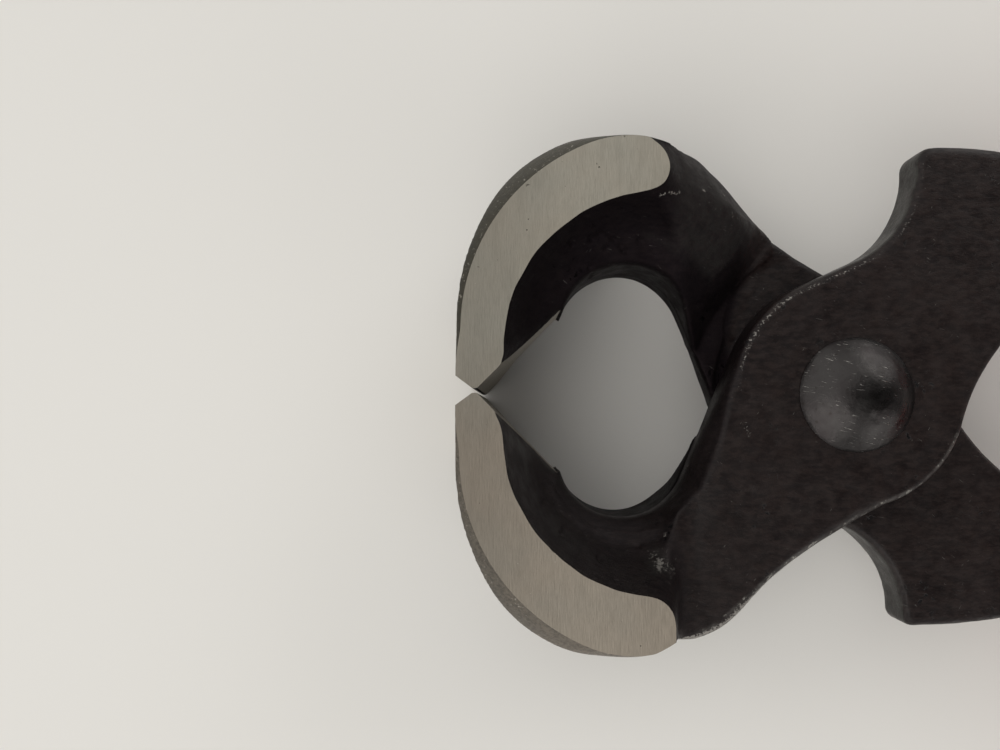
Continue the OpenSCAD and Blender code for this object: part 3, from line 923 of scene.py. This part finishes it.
def ground_steel(name, light, dark, streak, grit, lower, upper):
    """Bare ground steel. The streaks are features a millimetre along each axis, the grit is the share
    of a worn rim's dirt, and the last two colours are painted light and shade that tint the lower and
    the upper jaw apart."""
    s = Shader(name, light, 1.0, 0.5)
    fine = s.noise(streak, 4, 0.6)
    hair = s.noise(tuple(v * 2.2 for v in streak), 2, 0.5, 6)
    broad = s.noise((streak[0] * 0.12, streak[1] * 0.3, streak[2] * 0.3), 3)
    tone = s.mix(s.ramp(fine, 0.3, 0.7), dark, light)
    tone = s.mix(s.times(s.ramp(hair, 0.5, 0.8), 0.35), tone, tuple(0.7 * v for v in dark))
    tone = s.mix(s.times(s.ramp(broad, 0.4, 0.75), 0.30), tone, tuple(0.75 * v for v in dark))
    cloud = s.ramp(s.noise(0.12, 3), 0.3, 0.7)
    warm = tuple(v * w for v, w in zip(light, (1.16, 1.05, 0.98)))
    tone = s.mix(s.times(cloud, 0.25), tone, warm)
    # painted light and shade: the lower and the upper jaw tinted apart by their place along y
    tone = s.mix(s.ramp(s.along("Y"), -6.0, 6.0), s.tint(tone, lower), s.tint(tone, upper))
    if grit:
        worn = s.ramp(s.noise((3.2, 3.2, 0.9), 5, 0.7), 0.40, 0.66)
        tone = s.mix(s.times(worn, grit), tone, DIRT)
        chips = s.ramp(s.noise((3.6, 3.6, 0.8), 5, 0.7), 0.60, 0.66)
        chips = s.times(chips, s.ramp(s.noise(0.3, 2), 0.42, 0.58))
        tone = s.mix(chips, tone, CHIP)
    pits = s.ramp(s.noise(1.9, 2, 0.4), 0.745, 0.785)
    pits = s.times(pits, s.ramp(s.noise(0.3, 2), 0.5, 0.62))
    tone = s.mix(s.times(pits, 0.75), tone, RUST_PIT)
    glints = s.ramp(s.noise(2.6, 2, 0.4, 30), 0.73, 0.76)
    glints = s.times(glints, s.ramp(s.noise(0.4, 2, turn=50), 0.52, 0.62))
    tone = s.mix(s.times(glints, 0.5), tone, GLINT)
    # painted shade: the jaws' steel is darker towards their front
    tone = s.tint(tone, s.grey(s.ramp(s.along("X"), -100.0, -86.0, 0.72, 1.0)))
    s.set("Base Color", tone)
    s.set("Roughness", s.ramp(fine, 0.25, 0.75, 0.46, 0.6))
    s.set("Normal", s.bump(s.math("SUBTRACT", 1.0, pits), 0.04, s.bump(fine, 0.02)))
    return s.material


def worn_rivet():
    s = Shader("rivet_steel", (0.16, 0.155, 0.15), 1.0, 0.4)
    cloud = s.ramp(s.noise(0.3, 4), 0.3, 0.7)
    tone = s.mix(cloud, RIVET_LOW, RIVET_HIGH)
    scratches = s.ramp(s.noise((1.0, 11.0, 1.0), 3, 0.5, 14), 0.62, 0.70)
    scratches = s.times(scratches, s.ramp(s.noise(0.7, 3), 0.46, 0.62))
    tone = s.mix(s.times(scratches, 0.8), tone, RIVET_SCRATCH)
    dark = s.times(s.ramp(s.noise(1.8, 3), 0.64, 0.72), 0.7)
    tone = s.mix(dark, tone, RIVET_PATCH)
    s.set("Base Color", tone)
    s.set("Roughness", s.ramp(s.noise(0.9, 4), 0.3, 0.7, 0.24, 0.38))
    s.set("Normal", s.bump(scratches, 0.02, s.bump(s.noise(1.1, 4, 0.6), 0.05)))
    return s.material


def dipped_vinyl():
    s = Shader("dipped_vinyl", (0.42, 0.022, 0.02), 0.0, 0.3)
    cloud = s.ramp(s.noise(0.05, 3), 0.3, 0.7)
    tone = s.mix(cloud, VINYL_LOW, VINYL_HIGH)
    dust = s.times(s.ramp(s.noise(2.2, 3), 0.68, 0.74), 0.08)
    s.set("Base Color", s.mix(dust, tone, VINYL_DUST))
    s.set("Roughness", s.ramp(s.noise(0.35, 4), 0.3, 0.7, 0.24, 0.4))
    s.set("Normal", s.bump(s.noise(0.5, 4, 0.55), 0.02))
    return s.material


STEEL, RIM = 1, 2  # places in the forging's list of materials
forging_materials = [
    black_oxide(),
    # painted light and shade: the ground faces a little darker on the lower jaw and lighter on the
    # upper one
    ground_steel(
        "ground_steel", light=(0.345, 0.325, 0.28), dark=(0.30, 0.282, 0.24),
        streak=(8.0, 0.8, 0.8), grit=0, lower=(0.93, 0.885, 0.86), upper=(1.05, 1.05, 1.04)),
    # painted light and shade: the rim strip lightened on the lower jaw and darkened on the upper one
    ground_steel(
        "ground_rim", light=(0.17, 0.16, 0.14), dark=(0.12, 0.112, 0.098),
        streak=(1.2, 1.2, 7.0), grit=0.5, lower=(1.25, 1.18, 1.12), upper=(0.46, 0.46, 0.39))]
vinyl = dipped_vinyl()
rivet_steel = worn_rivet()

for body, turned, seed, shoulder in (("front", False, 11, 0.7), ("rear", True, 47, -0.5)):
    obj = forging(body, turned, seed, shoulder)
    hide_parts(body + "_lever")
    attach(obj, body)


# The rivet and the grips

RIVET_SIDES, RIVET_ROWS = 96, 44
DENTS, DENTS_REACH, DENT_R, DENT_DEPTH = 26, 4.9, (0.25, 0.6), (0.01, 0.045)
HEAD_WAVES, GRIP_WAVES = ((0.05, 3.1), (0.012, 1.1)), ((0.09, 9.0), (0.03, 2.5))
HEAD_SEED, DENT_SEED, HEAD_MARKED, HEAD_SOFT = 71, 5, 0.25, (0.2, 0.6)
# The rounded rim of each head, with steps as (in from its edge, down into the plate)
RIM_FROM, RIM_IN, RIM_STEPS = 0.01, 0.05, ((0.03, 0.02), (0.1, 0.14))


def rivet_dents(v):
    """Hammer marks on both heads."""
    height = np.abs(v[:, 2])
    top = height > PLATE_T + HEAD_MARKED
    soft = rise(height - PLATE_T, *HEAD_SOFT)
    depth = sunken(v, HEAD_WAVES, HEAD_SEED)
    rng = np.random.default_rng(DENT_SEED)
    for _ in range(DENTS):
        a, r = rng.uniform(0, 2 * math.pi), DENTS_REACH * math.sqrt(rng.uniform())
        d = np.hypot(v[:, 0] - r * math.cos(a), v[:, 1] - r * math.sin(a)) / rng.uniform(*DENT_R)
        dent = rng.uniform(*DENT_DEPTH) * np.exp(-d * d)
        depth -= dent * (np.sign(v[:, 2]) == rng.choice([-1, 1, 1]))
    v[:, 2] += np.sign(v[:, 2]) * np.where(top, depth * soft, 0)
    return v


def rivet():
    """One turned solid, its profile mirrored about the middle plane."""
    head_r = HEAD_D / 2
    dome_r = (head_r ** 2 + HEAD_RISE ** 2) / (2 * HEAD_RISE)
    dome_z = PLATE_T + HEAD_RISE - dome_r
    radii = [head_r * math.sin(math.pi / 2 * i / RIVET_ROWS) for i in range(RIVET_ROWS + 1)]
    half = [(r - RIM_IN * (r > head_r - RIM_FROM), dome_z + math.sqrt(dome_r ** 2 - r * r))
            for r in radii]
    half += [(head_r - inward, PLATE_T - down) for inward, down in RIM_STEPS]
    half.append((SHANK_R, half[-1][1]))
    profile = half + [(r, -z) for r, z in half[::-1]]
    ring = np.linspace(0, 2 * math.pi, RIVET_SIDES, endpoint=False)
    verts = [[0, 0, profile[0][1]]]
    for r, z in profile[1:-1]:
        verts += [[r * math.cos(t), r * math.sin(t), z] for t in ring]
    verts.append([0, 0, profile[-1][1]])
    faces = ring_faces(len(profile) - 2, RIVET_SIDES, 1, 0, len(verts) - 1)
    faces = [(f[0],) + f[:0:-1] for f in faces]  # turned round, as this profile runs downwards
    v = rivet_dents(np.array(verts, float))
    obj = ring_object("domed_rivet", v, faces, False, rivet_steel)
    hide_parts("pivot_rivet")
    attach(obj, "rear")


GRIP_SIDES, GRIP_ROWS, GRIP_END_ROWS, GRIP_INSET = 72, 150, 25, 0.12
GRIP_SQUARE, GRIP_END_SQUARE = 0.62, 0.55  # powers that square off the grip's section and end
GRIP_LIP = [(0.0, 0.62), (0.05, 0.80), (0.3, 0.90), (0.8, 0.955), (1.6, 0.985), (2.6, 0.995)]
GRIP_LIP_LEN, GRIP_EVEN_LEN, BOW_PLACES = 3.2, 3, 60


def squared(values):
    return np.sign(values) * np.abs(values) ** GRIP_SQUARE


def bow_frame(a):
    """The bow's middle line at an angle, with its outward and its onward direction."""
    radial = on_circle((0, 0), 1.0, a)
    return on_circle(BOW_C, BOW_R, a), radial, np.array([radial[1], -radial[0]])


def dipped_grip(name, turned, seed):
    """A skin of vinyl swept along the handle's bow, with a soft front lip and a round end."""
    start, end = bow_angle(GRIP_START), bow_angle(GRIP_END_X)
    corner = np.linspace(0, 2 * math.pi, GRIP_SIDES, endpoint=False)
    cu, cw = squared(np.cos(corner)), squared(np.sin(corner))
    half_w, half_t = GRIP_W / 2 - GRIP_INSET, GRIP_T / 2 - GRIP_INSET
    # rows of (angle along the bow, share of the width, share of the thickness, run past the end)
    rows = [(start - math.degrees(d / BOW_R), share, share, 0.0) for d, share in GRIP_LIP]
    angles = [start + (end - start) * (i / GRIP_ROWS) for i in range(1, GRIP_ROWS)]
    lip_end = start - math.degrees(GRIP_LIP_LEN / BOW_R)
    rows += [(a, 1.0, 1.0, 0.0) for a in angles if a < lip_end]
    for i in range(GRIP_END_ROWS):
        t = math.pi / 2 * i / GRIP_END_ROWS
        rows.append((end, math.cos(t), math.cos(t) ** GRIP_END_SQUARE, half_w * math.sin(t)))
    verts = []
    for a, su, sw, out in rows:
        c, radial, along = bow_frame(a)
        for u, w in zip(cu, cw):
            xy = c + radial * (u * half_w * su) + along * out
            verts.append([xy[0], xy[1], w * half_t * sw])
    first, (last, _, along) = bow_frame(start)[0], bow_frame(end)
    tip = last + along * half_w
    verts += [[first[0], first[1], 0], [tip[0], tip[1], 0]]
    v = np.array(verts)
    # the dipped skin is a little uneven, pushed in from the bow's middle line
    xs = np.linspace(GRIP_START, GRIP_END_X, BOW_PLACES)
    middle = np.interp(v[:, 0], xs, [on_circle(BOW_C, BOW_R, bow_angle(x))[1] for x in xs])
    push = v - np.stack([v[:, 0], middle, np.zeros(len(v))], 1)
    push /= np.maximum(np.linalg.norm(push, axis=1), 1e-9)[:, None]
    depth = sunken(v, GRIP_WAVES, seed) * rise(v[:, 0], GRIP_START, GRIP_EVEN_LEN)
    v += push * depth[:, None]
    points = len(rows) * GRIP_SIDES
    faces = ring_faces(len(rows), GRIP_SIDES, 0, points, points + 1)
    return ring_object(name, v, faces, turned, vinyl)


rivet()
for body, turned, seed in (("front", False, 81), ("rear", True, 91)):
    obj = dipped_grip(body + "_dipped_grip", turned, seed)
    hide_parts(body + "_grip")
    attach(obj, body)


# Stage, light and camera

FLOOR_HALF, FLOOR_Z = 3, -0.00002  # metres, just below the jaws' ground faces
signs = ((-1, -1), (1, -1), (1, 1), (-1, 1))
corners = [(FLOOR_HALF * x, FLOOR_HALF * y, FLOOR_Z) for x, y in signs]
floor_mesh = bpy.data.meshes.new("floor")
floor_mesh.from_pydata(corners, [], [(0, 1, 2, 3)])
floor = linked("floor", floor_mesh)
paper = Shader("floor_paper", (0.715, 0.70, 0.668), 0.0, 0.9)
preset(paper.body, {"Specular IOR Level": 0.1})
floor.data.materials.append(paper.material)

world = bpy.data.worlds.new("studio")
bpy.context.scene.world = world
world.use_nodes = True
sky = Nodes(world.node_tree)
sky_place = sky.node("ShaderNodeTexCoord").outputs["Generated"]


def sky_vector(operation, a, b=(0, 0, 0)):
    n = sky.node("ShaderNodeVectorMath", operation=operation)
    sky.link(a, n.inputs[0])
    n.inputs[1].default_value = b
    return n.outputs["Value" if operation == "DOT_PRODUCT" else "Vector"]


def sky_light(direction, span, light, squeeze=1.0):
    """Light that changes over a span of nearness to a direction, faster across with squeeze."""
    unit = sky_vector("NORMALIZE", sky_vector("MULTIPLY", sky_place, (1, squeeze, 1)))
    return sky.ramp(sky_vector("DOT_PRODUCT", unit, direction), *span, *light)


# A room that is dark overhead and brighter in front of the jaws, with two windows behind the grips
overhead = sky_light((0.50, -0.04, 0.86), span=(0.66, 0.97), light=(1.0, 0.12), squeeze=1.5)
front_side = sky_light((-0.85, 0.05, 0.52), span=(-0.7, 0.85), light=(0.28, 1.20))
left_window = sky_light((0.70, 0.65, 0.30), span=(0.86, 0.985), light=(1.0, 5.0))
right_window = sky_light((0.73, -0.63, 0.27), span=(0.87, 0.985), light=(1.0, 4.2))
room = sky.times(sky.times(overhead, front_side), sky.larger(left_window, right_window))
SKY_COLOUR, SKY_LEVEL = (1.0, 0.99, 0.97), 0.99
background = world.node_tree.nodes["Background"]
preset(background, {"Color": (*SKY_COLOUR, 1)})
sky.link(sky.times(room, SKY_LEVEL), background.inputs["Strength"])

KEY_PLACE, KEY_AIM = Vector((-0.36, -0.44, 0.46)), Vector((-0.07, 0, 0))
KEY_SIZE, KEY_POWER, KEY_COLOUR = 0.7, 1.4, (1.0, 0.98, 0.95)
key = bpy.data.lights.new("key", "AREA")
key.shape = "RECTANGLE"
key.size = key.size_y = KEY_SIZE
key.energy = KEY_POWER
key.color = KEY_COLOUR
key_lamp = linked("key", key)
key_lamp.location = KEY_PLACE
key_lamp.rotation_mode = "QUATERNION"
key_lamp.rotation_quaternion = (KEY_AIM - KEY_PLACE).to_track_quat("-Z", "Y")

# The camera fitted to the photograph
SENSOR, FOCAL_PX, WIDTH_PX, NEAREST = 36, 751, 1000, 0.005
CAMERA_PLACE = (-0.09523729, -0.00185293, 0.09015816)
CAMERA_RIGHT = Vector((0.99989494, 0.00590400, -0.01323806))
CAMERA_UP = Vector((-0.00524597, 0.99877506, 0.04920225))
cam = bpy.data.cameras.new("camera")
cam.sensor_width = SENSOR
cam.lens = SENSOR * FOCAL_PX / WIDTH_PX
cam.clip_start = NEAREST
camera = linked("camera", cam)
axes = (CAMERA_RIGHT, CAMERA_UP, CAMERA_RIGHT.cross(CAMERA_UP), CAMERA_PLACE)
camera.matrix_world = Matrix([[a[i] for a in axes] for i in range(3)] + [[0, 0, 0, 1]])
bpy.context.scene.camera = camera
bpy.context.scene.view_settings.view_transform = "Standard"
